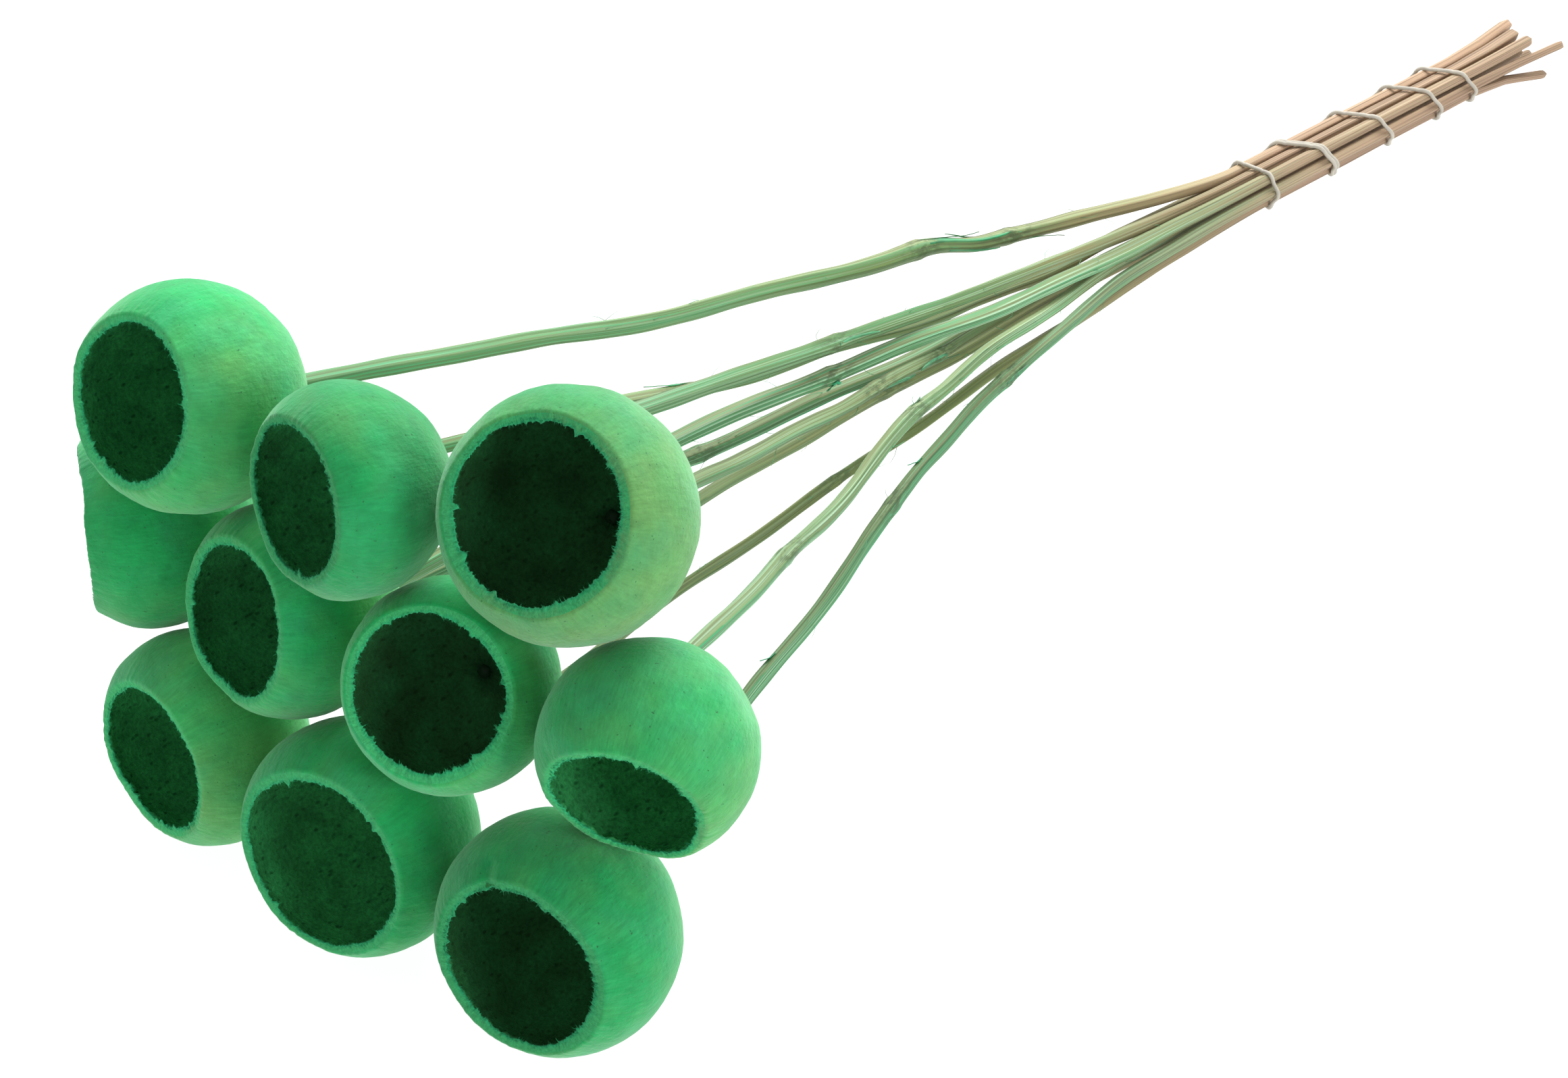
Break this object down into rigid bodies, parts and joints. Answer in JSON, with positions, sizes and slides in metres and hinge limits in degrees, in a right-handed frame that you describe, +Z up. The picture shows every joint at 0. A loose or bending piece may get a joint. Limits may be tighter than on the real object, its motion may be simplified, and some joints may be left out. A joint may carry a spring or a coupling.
{
  "type": "dried bell cup pod bunch",
  "caption": "Bunch of dried bell cup pods: open woody cups on reed stems, bound at the stem end with wound elastic, lying on its side.",
  "frame": {"origin": "middle of the bunch's box, on the surface that it lies on", "axes": "+Y along the bunch, from the cups to the bound stem ends; +X to the right when looking along +Y; +Z up"},
  "size_m": [0.1808, 0.486, 0.1336],
  "materials": {
    "pod_shell": "matte green dye over dry woody shell",
    "reed_stem": "ribbed dry reed, green dye fading to tan",
    "elastic": "dull off-white elastic"
  },
  "bodies": {
    "root": {"cup_01": "pod_shell", "cup_02": "pod_shell", "cup_03": "pod_shell", "cup_04": "pod_shell", "cup_05": "pod_shell", "cup_06": "pod_shell", "cup_07": "pod_shell", "cup_08": "pod_shell", "cup_09": "pod_shell", "cup_10": "pod_shell", "stem_01": "reed_stem", "stem_02": "reed_stem", "stem_03": "reed_stem", "stem_04": "reed_stem", "stem_05": "reed_stem", "stem_06": "reed_stem", "stem_07": "reed_stem", "stem_08": "reed_stem", "stem_09": "reed_stem", "stem_10": "reed_stem", "band": "elastic"}
  },
  "joints": []
}
